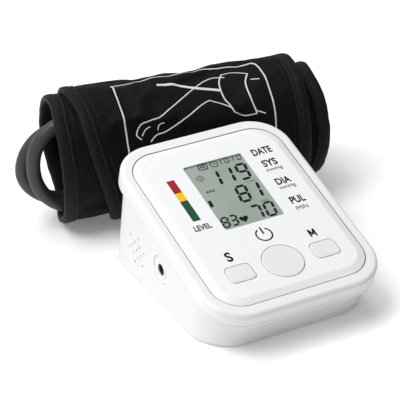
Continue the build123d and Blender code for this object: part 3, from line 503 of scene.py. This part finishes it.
def display_segments():
    """What the display shows: clock, three readings, a memory number and small symbols."""
    marks = Print("display_segments", segment_ink, "component_plastic", -0.865)
    shift_u, shift_v = 0.5, 0.7  # the panel's marks sit up and to the right behind the lens
    rows = (
        (22.6, 5.5, 11.0, 1.7, (("1", -8.6), ("1", -0.6), ("9", 8.7))),
        (7.4, 5.6, 11.1, 1.7, (("8", 0.6), ("1", 7.9))),
        (-6.9, 4.9, 9.5, 1.5, (("7", 1.4), ("0", 9.2))),
        (-6.5, 3.5, 6.8, 1.15, (("8", -17.4), ("3", -12.3))),
        (37.0, 2.0, 3.6, 0.65, (("1", 2.0), ("0", 6.4), ("1", 9.6), ("0", 14.1))),
    )
    for low, width, height, stroke, digits in rows:
        for shown, left in digits:
            marks.digit(shown, left + shift_u, low + shift_v, width, height, stroke)
    marks.arc((10.3, 38.7), 0.18, 0.36, steps=8)
    marks.arc((10.5, 40.3), 0.18, 0.36, steps=8)
    marks.arc((0.4, 39.2), 2.2, 0.5)
    marks.bar((0.4, 39.1), (0.4, 40.7), 0.45)
    marks.bar((0.3, 39.1), (1.6, 39.1), 0.45)
    for start, end in (((-9.3, 37.2), (-4.3, 37.2)), ((-8.9, 41.0), (-3.9, 41.0)),
                       ((-9.3, 37.1), (-8.8, 41.1)), ((-4.3, 37.1), (-3.8, 41.1))):
        marks.bar(start, end, 0.6)
    marks.capital_m((-6.6, 39.3), (2.2, 2.4), 0.5)
    marks.text("AVG", (-11.4, 21.1), (5.2, 1.7), 0.03)
    marks.text("mmHg", (13.0, 20.6), (4.6, 1.2), 0.0)
    marks.text("mmHg", (12.6, 5.0), (4.6, 1.2), 0.0)
    marks.polygon([(-16.8, 10.2), (-14.9, 10.2), (-14.4, 14.9), (-16.3, 14.9)])
    centre_u, centre_v = -12.0, 31.6
    corners = [(centre_u + 2.3 * cos(i * pi / 2), centre_v + 2.3 * sin(i * pi / 2)) for i in range(5)]
    for start, end in zip(corners, corners[1:]):
        marks.bar(start, end, 0.35)
    marks.bar((centre_u, centre_v - 1.0), (centre_u, centre_v + 1.0), 0.45)
    heart = []
    for i in range(40):
        t = 2 * pi * i / 40
        across = sin(t) ** 3
        up = (13 * cos(t) - 5 * cos(2 * t) - 2 * cos(3 * t) - cos(4 * t)) / 16
        heart.append((-4.0 + 2.55 * across, -3.3 + 2.6 * up))
    marks.polygon(heart)
    return marks.finish(0.03)


def rounded_outline(width, height, radius, steps=14):
    """A rounded rectangle's outline on the face, in millimetres."""
    outline = []
    for corner, (side_u, side_v) in enumerate(((1, 1), (-1, 1), (-1, -1), (1, -1))):
        for i in range(steps + 1):
            a = (corner + i / steps) * pi / 2
            outline.append((side_u * (width / 2 - radius) + radius * cos(a),
                            side_v * (height / 2 - radius) + radius * sin(a)))
    return outline


PLATE_CORNER = 15.8  # radius of the face plate's corners, in millimetres


def painted_seam_shade():
    """Dark bead in the gap between the face plate and the rim: painted shade, a near-black strip that stands in
    for the shadow in the seam.
    """
    half_u = np.ptp(plate_points[:, 0]) / 2 / MM
    half_v = np.ptp(plate_v) / 2 / MM
    section = ((0.06, -2.4), (0.06, -1.62), (0.25, -1.5), (0.44, -1.62), (0.44, -2.4))
    rings = []
    for out, w in section:
        outline = rounded_outline(2 * (half_u + out), 2 * (half_v + out), PLATE_CORNER + out)
        rings.append([tuple(on_face(u, v, w)) for u, v in outline + outline[:1]])
    # the bead's near-black colour is painted shade for the seam between plate and rim
    piece = add_piece("painted_seam_shade", grid_mesh("painted_seam_shade", np.array(rings)), "keypad_rubber",
                      rubbery("seam_shade_look", (0.012, 0.012, 0.013), 0.7))
    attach(piece, "monitor")


def painted_bore_shade():
    """Dark sleeve inside the air socket, shaped to seal on the plug; its near-black colour and its closed far end
    are painted shade that darkens the bore.
    """
    socket = next(m for m in frame["record"]["mounts"] if m["name"] == "cuff_hose_socket")
    mouth, out = Vector(socket["pos_m"]), Vector(socket["axis"]).normalized()
    bore = socket["dims"]["r_mm"] * MM
    side, up = Vector((0, 1, 0)), Vector((0, 0, 1))
    section = ((0.99, 0.7), (0.93, 0.45), (0.86, 0.9), (0.84, 3.0), (0.84, 8.6), (0.3, 8.8), (0.001, 8.8))
    rings = []
    for share, depth in section:
        centre = mouth - out * depth * MM
        rings.append([tuple(centre + (side * cos(a) + up * sin(a)) * bore * share)
                      for a in np.linspace(0, 2 * pi, 41)])
    # near-black look and closed end: painted shade deep in the socket's bore
    piece = add_piece("painted_bore_shade", grid_mesh("painted_bore_shade", np.array(rings)), "keypad_rubber",
                      rubbery("bore_shade_look", (0.008, 0.008, 0.009), 0.6))
    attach(piece, "monitor")


# ---------------------------------------------------------------- cuff
def round_roll(s, turn, inset):
    """Points of the roll: s along it and inset inside its outline, in metres; turn is 0 at the
    monitor's side and 90 on top."""
    angle = np.radians(turn)
    away = -(ROLL_A - inset) * np.cos(angle)
    z = np.maximum(ROLL_B + (ROLL_B - inset) * np.sin(angle), 0.0004)
    flat = s[..., None] * np.array(ROLL_DIR) + away[..., None] * np.array(AWAY)
    return flat + np.array(ROLL_AT) + z[..., None] * np.array((0, 0, 1.0))


def edge_line(*stops):
    """An edge's place along the roll, in millimetres, as a smooth function of the turn round it."""
    turns = np.array([turn for turn, _ in stops], float)
    places = np.array([place for _, place in stops], float)

    def place(turn):
        wrapped = (np.asarray(turn, float) - turns[0]) % 360 + turns[0]
        samples = [np.interp((wrapped + shift - turns[0]) % 360 + turns[0],
                             np.append(turns, turns[0] + 360), np.append(places, places[0]))
                   for shift in (-12, -6, 0, 6, 12)]
        return sum(samples) / len(samples) * MM

    return place


# each layer: how far it lies inside the roll's outline, and its left and right edges
layers = {
    "outer": (0.0003, edge_line((-90, -47), (-52, -51.5), (-16, -57.7), (21, -64.4), (41, -66.2),
                                (96, -70.3), (180, -66), (240, -50)),
              edge_line((-90, 63), (0, 65.5), (76, 66), (180, 66), (240, 64))),
    "middle": (0.0033, edge_line((-90, -78), (-46, -79), (2, -80.2), (28, -80.5), (56, -80.5),
                                 (76, -79.4), (180, -78), (240, -73)),
               edge_line((-90, 52), (90, 52))),
    "inner": (0.0067, edge_line((-90, -46), (90, -46)),
              edge_line((-90, 76), (-36, 78.2), (1, 79.5), (40, 78.6), (76, 75.4), (130, 78),
                        (180, 79.4), (240, 79))),
}
FIRST_TURN, LAST_TURN = -118.0, 238.0
WRAP_T = 0.002
TAPE_W = 0.008  # held still in the simulation, under the tape


def ripple(s, turn, seed):
    """How far the cloth lies under its smooth outline, in metres: soft folds and gathers."""
    depth = np.empty(s.shape)
    for index, along in np.ndenumerate(s):
        a = radians(turn[index])
        spot = Vector((along * 26, 1.6 * cos(a), 1.6 * sin(a) + seed))
        fine = Vector((along * 90, 5 * cos(a), 5 * sin(a) + seed))
        depth[index] = 0.0007 * noise.noise(spot) + 0.00022 * noise.noise(fine)
    return depth


def stand_on_floor(piece):
    """Press flat whatever of a piece would reach under the table's surface."""
    spots = np.array([v.co for v in piece.data.vertices], np.float32)
    spots[:, 2] = np.maximum(spots[:, 2], 0.0)
    piece.data.vertices.foreach_set("co", spots.ravel())
    piece.data.update()


def simulate(piece, pinned, pressure, cap, frames=20):
    """Swell and buckle a sheet by cloth simulation, and keep every point within cap of its start."""
    rest = np.array([v.co for v in piece.data.vertices])
    group = piece.vertex_groups.new(name="pinned")
    group.add([int(i) for i in pinned], 1.0, "REPLACE")
    cloth = modify(piece, "CLOTH")
    cloth.settings.quality = 6
    cloth.settings.mass = 0.25
    cloth.settings.tension_stiffness = cloth.settings.compression_stiffness = 18
    cloth.settings.bending_stiffness = 0.6
    cloth.settings.shrink_min = -0.012
    cloth.settings.use_pressure = True
    cloth.settings.uniform_pressure_force = pressure
    cloth.settings.effector_weights.gravity = 0
    cloth.settings.vertex_group_mass = "pinned"
    scene = bpy.context.scene
    scene.frame_start, scene.frame_end = 1, frames
    cloth.point_cache.frame_start, cloth.point_cache.frame_end = 1, frames
    for step in range(1, frames + 1):
        scene.frame_set(step)
    bake(piece)
    moved = np.array([v.co for v in piece.data.vertices]) - rest
    length = np.linalg.norm(moved, axis=1, keepdims=True)
    kept = rest + moved * np.minimum(1.0, cap / np.maximum(length, 1e-9))
    kept[:, 2] = np.maximum(kept[:, 2], 0.0004)
    piece.data.vertices.foreach_set("co", kept.astype(np.float32).ravel())
    piece.data.update()
    scene.frame_set(1)


def wrap(layer, slot, seed, calm=1.0):
    """One turn of the strip: a sheet with soft folds, swelled by simulation and given its thickness.
    A calm under 1 makes the folds shallower, where a moving part passes close by."""
    inset, left, right = layers[layer]
    shares, turns = np.linspace(0, 1, 64), np.linspace(FIRST_TURN, LAST_TURN, 150)
    share, turn = np.meshgrid(shares, turns, indexing="ij")
    start, end = left(turn) + 0.0015, right(turn) - 0.0015
    s = start + (end - start) * share
    middle = inset + WRAP_T / 2
    grid = round_roll(s, turn, middle + calm * np.abs(ripple(s, turn, seed)) * np.sin(share * pi))
    flat = np.stack([s, np.radians(turn) * (ROLL_A + ROLL_B) / 2], -1)
    piece = add_piece(f"cuff_{layer}_cloth", grid_mesh(layer, grid, flat), slot)
    held = np.minimum(s - start, end - s) < TAPE_W
    held[:, :2] = held[:, -2:] = True
    simulate(piece, np.flatnonzero(held.ravel()), 1.2, 0.0012 * calm)
    modify(piece, "SOLIDIFY", thickness=WRAP_T - 0.0003, offset=0.0)
    modify(piece, "SUBSURF", levels=1, render_levels=1)
    bake(piece)
    stand_on_floor(piece)
    piece.data.polygons.foreach_set("use_smooth", [True] * len(piece.data.polygons))
    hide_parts(f"cuff_{layer}_wrap")
    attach(piece, "cuff")
    return piece


# the tape folded over an edge: distance in from the edge, and height over the cloth's outer side
TAPE_SECTION = np.array([
    (8.2, -0.15), (8.0, 0.25), (7.3, 0.5), (6.3, 0.5), (5.9, 0.1), (5.5, 0.5), (4.4, 0.75), (2.6, 0.8),
    (1.2, 0.65), (0.3, 0.15), (0.0, -1.0), (0.3, -2.2), (1.2, -2.7), (4.0, -2.7), (7.3, -2.4), (8.2, -1.9),
]) * MM
STITCH_ROW = 0.0059  # the tape's sewn groove, from its edge
SECOND_ROW = 0.0104  # a row through the cloth beside the tape


def bindings(layer, seed):
    """Tape sewn over both edges of a layer, with its stitches."""
    inset, left, right = layers[layer]
    turns = np.linspace(FIRST_TURN, LAST_TURN, 260)
    tapes = []
    for edge, inward in ((left, 1), (right, -1)):
        turn, depth_in = np.meshgrid(turns, TAPE_SECTION[:, 0], indexing="ij")
        height = np.broadcast_to(TAPE_SECTION[:, 1], turn.shape)
        pucker = ripple(turn * 0.004, turn, seed)
        s = edge(turn) + inward * depth_in + pucker * 0.5
        grid = round_roll(s, turn, inset - np.clip(height + np.abs(pucker) * -0.4, -1, 0.0009))
        flat = np.stack([depth_in, np.radians(turn) * (ROLL_A + ROLL_B) / 2], -1)
        tape = grid_mesh(f"{layer}_tape", grid if inward > 0 else grid[::-1], flat)
        tapes.append((tape, edge, inward))
    for side, (tape, edge, inward) in zip(("left", "right"), tapes):
        piece = add_piece(f"cuff_{layer}_{side}_tape", tape, "binding_tape")
        modify(piece, "SOLIDIFY", thickness=0.0003, offset=-1.0 * inward)
        modify(piece, "SUBSURF", levels=1, render_levels=1)
        bake(piece)
        stand_on_floor(piece)
        if side == "left":
            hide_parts(f"cuff_{layer}_binding")
        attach(piece, "cuff")
        stitches(f"cuff_{layer}_{side}_stitches", edge, inward * STITCH_ROW, inset - 0.0003)
        stitches(f"cuff_{layer}_{side}_second_stitches", edge, inward * SECOND_ROW, inset - 0.0001)


def stitches(name, edge, inward, inset, length=0.0026, gap=0.0008, thread=0.00022):
    """A row of sewn stitches beside an edge, each a short thread that dips at both ends."""
    ring = (ROLL_A + ROLL_B) / 2
    pitch = np.degrees((length + gap) / ring)
    points, faces = [], []
    for first in np.arange(FIRST_TURN + 2, LAST_TURN - 3, pitch):
        turn = first + np.linspace(0, np.degrees(length / ring), 5)
        dip = np.array([1.5, 0.1, 0, 0.1, 1.5]) * thread
        line = round_roll(edge(turn) + inward, turn, inset + dip)
        outward = round_roll(edge(turn) + inward, turn, inset + dip - 0.001) - line
        outward /= np.linalg.norm(outward, axis=1, keepdims=True)
        base = len(points)
        for here, out in zip(line, outward):
            for k in range(6):
                a = k * pi / 3
                points.append(here + thread * (cos(a) * out + sin(a) * np.array(ROLL_DIR)))
        for j in range(4):
            for k in range(6):
                a, b = base + 6 * j + k, base + 6 * j + (k + 1) % 6
                faces.append((a, b, b + 6, a + 6))
        faces += [range(base + 5, base - 1, -1), range(base + 24, base + 30)]
    piece = add_piece(name, mesh_of(name, points, faces), "binding_tape", thread_look)
    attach(piece, "cuff")
    return piece


thread_look = woven("thread_look", (0.02, 0.02, 0.022), 0.0002, 0.5, 0.00005)


def smooth_line(corners, steps=12):
    """A smooth curve through its corners (Catmull-Rom)."""
    spots = np.array([corners[0], *corners, corners[-1]], float)
    t = np.linspace(0, 1, steps, endpoint=False)[:, None]
    line = []
    for p0, p1, p2, p3 in zip(spots, spots[1:], spots[2:], spots[3:]):
        line.append(0.5 * (2 * p1 + (p2 - p0) * t + (2 * p0 - 5 * p1 + 4 * p2 - p3) * t**2
                           + (3 * p1 - p0 - 3 * p2 + p3) * t**3))
    return np.vstack([*line, spots[-1:]])


def cuff_print(cloth):
    """White guide printed on the outer turn: a frame, and a plain drawing of an arm in its cuff.
    Points are the distance along the roll in millimetres and the turn round it in degrees."""
    mesh = cloth.data
    outer = BVHTree.FromPolygons([v.co for v in mesh.vertices], [p.vertices for p in mesh.polygons])
    lines = [
        (0.95, smooth_line([(-42.3, -30), (-42.3, 0), (-42.3, 30), (-42.3, 60), (-42.2, 90),
                            (-42.0, 93.3)])),
        (0.95, smooth_line([(-42.4, 93.3), (-20, 93.5), (0, 93.6), (20, 93.6), (38, 93.5), (42.5, 91.5),
                            (44.2, 86), (44.5, 78), (44.6, 55), (44.6, 30), (44.6, 0), (44.6, -30)])),
        # forearm and upper arm, above and below
        (0.75, smooth_line([(-34, 28), (-36.5, 33), (-33, 41), (-27, 43), (-21, 45), (-9, 57),
                            (4, 71), (9, 76)])),
        (0.75, smooth_line([(-29, 25), (-25, 30), (-19, 32), (-6, 41), (4, 50), (9, 53)])),
        (0.75, smooth_line([(9, 76), (15, 79), (22, 77)])),
        (0.75, smooth_line([(9, 53), (14, 48), (20, 42)])),
        (0.75, smooth_line([(36, 69), (41, 67)])),
        (0.75, smooth_line([(33, 37), (39, 33)])),
        # thumb and fingers of a plain mitten hand
        (0.6, smooth_line([(-33.5, 31), (-31, 36), (-28, 38)])),
        (0.6, smooth_line([(-24, 34), (-23, 38), (-20, 39)])),
        # cuff band round the upper arm
        (0.9, smooth_line([(21, 82), (17.5, 70), (17.5, 54), (21, 38)])),
        (0.9, smooth_line([(36, 78), (32.5, 66), (32, 50), (34, 34)])),
        (0.7, smooth_line([(21, 82), (28, 83), (36, 78)])),
        (0.7, smooth_line([(21, 38), (27, 34), (34, 34)])),
        # tube from the band
        (1.7, smooth_line([(-18, 79), (-8, 77), (4, 69), (17, 62)])),
    ]
    points, faces = [], []
    for width, line in lines:
        fine = np.repeat(line, 3, axis=0)[:-2]
        fine[1::3] = line[:-1] * 2 / 3 + line[1:] / 3
        fine[2::3] = line[:-1] / 3 + line[1:] * 2 / 3
        s, turn = fine[:, 0] * MM, fine[:, 1]
        above = round_roll(s, turn, -0.004)
        inward = round_roll(s, turn, 0.01) - above
        path = []
        for origin, ray in zip(above, inward):
            hit, normal, _, _ = outer.ray_cast(Vector(origin), Vector(ray).normalized(), 0.02)
            if hit is not None:
                path.append((hit, normal if normal.dot(Vector(ray)) < 0 else -normal))
        base = len(points)
        for i, (spot, normal) in enumerate(path):
            ahead = path[min(i + 1, len(path) - 1)][0] - path[max(i - 1, 0)][0]
            side = ahead.cross(normal).normalized() * width * MM / 2
            for share, lift in ((-1, 0.02), (-0.8, 0.12), (0, 0.16), (0.8, 0.12), (1, 0.02)):
                points.append(spot + side * share + normal * lift * MM)
        for i in range(len(path) - 1):
            for k in range(4):
                corner = base + 5 * i + k
                faces.append((corner, corner + 1, corner + 6, corner + 5))
    white = printed("white_cuff_ink", (0.66, 0.66, 0.68), 0.55)
    piece = add_piece("cuff_print", mesh_of("cuff_print", points, faces), "cuff_fabric", white)
    modify(piece, "SOLIDIFY", thickness=0.0001, offset=-1.0)
    bake(piece)
    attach(piece, "cuff")
    return piece


# ---------------------------------------------------------------- air tube
# distance along the roll, across it, and height, in metres
TUBE_ROUTE = [
    (-0.0270, 0.0050, 0.0156),
    (-0.0520, 0.0050, 0.0150),
    (-0.0770, 0.0040, 0.0112),
    (-0.0955, 0.0040, 0.0250),
    (-0.0955, 0.0040, 0.0425),
    (-0.0825, 0.0040, 0.0570),
    (-0.0580, 0.0035, 0.0600),
    (-0.0380, 0.0010, 0.0500),
    (-0.0350, -0.0035, 0.0290),
    (-0.0520, -0.0070, 0.0130),
    (-0.0750, -0.0070, 0.0120),
    (-0.0910, -0.0070, 0.0270),
    (-0.0920, -0.0070, 0.0520),
    (-0.0760, -0.0070, 0.0675),
    (-0.0530, -0.0070, 0.0654),
    (-0.0300, -0.0065, 0.0622),
    (-0.0030, -0.0055, 0.0644),
    (0.0246, -0.0040, 0.0649),
    (0.0395, -0.0030, 0.0509),
    (0.0395, -0.0040, 0.0297),
    (0.0246, -0.0065, 0.0172),
    (0.0020, -0.0065, 0.0178),
]
TUBE_D = 0.0082


def air_tube():
    """The cuff's air tube, on one smooth spline from the bladder's port to the plug."""
    curve = bpy.data.curves.new("cuff_air_tube", "CURVE")
    curve.dimensions = "3D"
    spline = curve.splines.new("NURBS")
    spline.points.add(len(TUBE_ROUTE) - 1)
    for point, (s, away, z) in zip(spline.points, TUBE_ROUTE):
        point.co = (*on_roll(s / MM, away / MM, z / MM), 1)
    spline.order_u = 3
    spline.use_endpoint_u = True
    spline.resolution_u = 14
    curve.bevel_depth = TUBE_D / 2
    curve.bevel_resolution = 7
    curve.use_fill_caps = True
    tube = bpy.data.objects.new("cuff_air_tube", curve)
    bpy.context.scene.collection.objects.link(tube)
    curve.materials.append(finishes["tube_rubber"].material)
    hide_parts("cuff_tube")
    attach(tube, "cuff")
    s, away, z = TUBE_ROUTE[0]
    return tube


# ---------------------------------------------------------------- studio
def studio():
    """White sweep, soft light from the left, and the camera."""
    scene = bpy.context.scene
    scene.view_settings.view_transform = "Standard"
    world = bpy.data.worlds.new("studio")
    scene.world = world
    world.use_nodes = True
    tree = world.node_tree
    spot = tree.nodes.new("ShaderNodeTexCoord")
    facing = tree.nodes.new("ShaderNodeVectorMath")
    facing.operation = "DOT_PRODUCT"
    facing.inputs[1].default_value = (-0.5, 0.36, 0.79)
    tree.links.new(spot.outputs["Generated"], facing.inputs[0])
    sky = tree.nodes.new("ShaderNodeValToRGB")
    sky.color_ramp.elements[0].position = 0.0
    sky.color_ramp.elements[0].color = (0.1, 0.102, 0.108, 1)
    sky.color_ramp.elements[1].position = 0.9
    sky.color_ramp.elements[1].color = (0.97, 0.98, 1.0, 1)
    tree.links.new(facing.outputs["Value"], sky.inputs[0])
    tree.links.new(sky.outputs[0], tree.nodes["Background"].inputs[0])
    tree.nodes["Background"].inputs[1].default_value = 0.75

    under = -0.0001  # just below the feet, so that the two surfaces don't coincide
    corners = [(-4, -4, under), (4, -4, under), (4, 4, under), (-4, 4, under)]
    floor = bpy.data.objects.new("floor", mesh_of("floor", corners, [(0, 1, 2, 3)]))
    scene.collection.objects.link(floor)
    sweep = Finish("white_sweep", (0.93, 0.93, 0.925), 0.6)
    sweep.shade(sweep.noise(6, 2.0), 0.004)
    sweep.set(Emission_Color=(1, 1, 0.99, 1), Emission_Strength=0.14)
    floor.data.materials.append(sweep.material)

    lights = (
        ("key_light", (-0.75, 0.0, 1.4), 0.8, 14.0),
        ("top_light", (0.0, 0.7, 1.6), 1.0, 8.5),
    )
    for name, place, size, power in lights:
        lamp = bpy.data.lights.new(name, "AREA")
        lamp.size = size
        lamp.energy = power
        light = bpy.data.objects.new(name, lamp)
        light.location = place
        light.rotation_mode = "QUATERNION"
        light.rotation_quaternion = (-Vector(place)).to_track_quat("-Z", "Y")
        scene.collection.objects.link(light)

    lens_data = bpy.data.cameras.new("camera")
    lens_data.lens = 168.98
    lens_data.sensor_width = 36
    lens_data.clip_start = 0.01
    camera = bpy.data.objects.new("camera", lens_data)
    camera.location = (-0.42827, -0.76716, 0.52454)
    aim = Vector((0.41236, 0.77588, -0.47746))
    camera.rotation_mode = "QUATERNION"
    camera.rotation_quaternion = aim.to_track_quat("-Z", "Y") @ Quaternion((0, 0, 1), radians(-1.095))
    scene.collection.objects.link(camera)
    scene.camera = camera


# ---------------------------------------------------------------- build
studio()
air_tube()
face_lettering()
level_bars()
display_segments()
painted_seam_shade()
painted_bore_shade()
outer_cloth = wrap("outer", "cuff_fabric", 0.0)
wrap("middle", "cuff_fabric", 7.0)
wrap("inner", "cuff_lining", 13.0, 0.2)
for number, layer in enumerate(layers):
    bindings(layer, 20.0 + number)
cuff_print(outer_cloth)
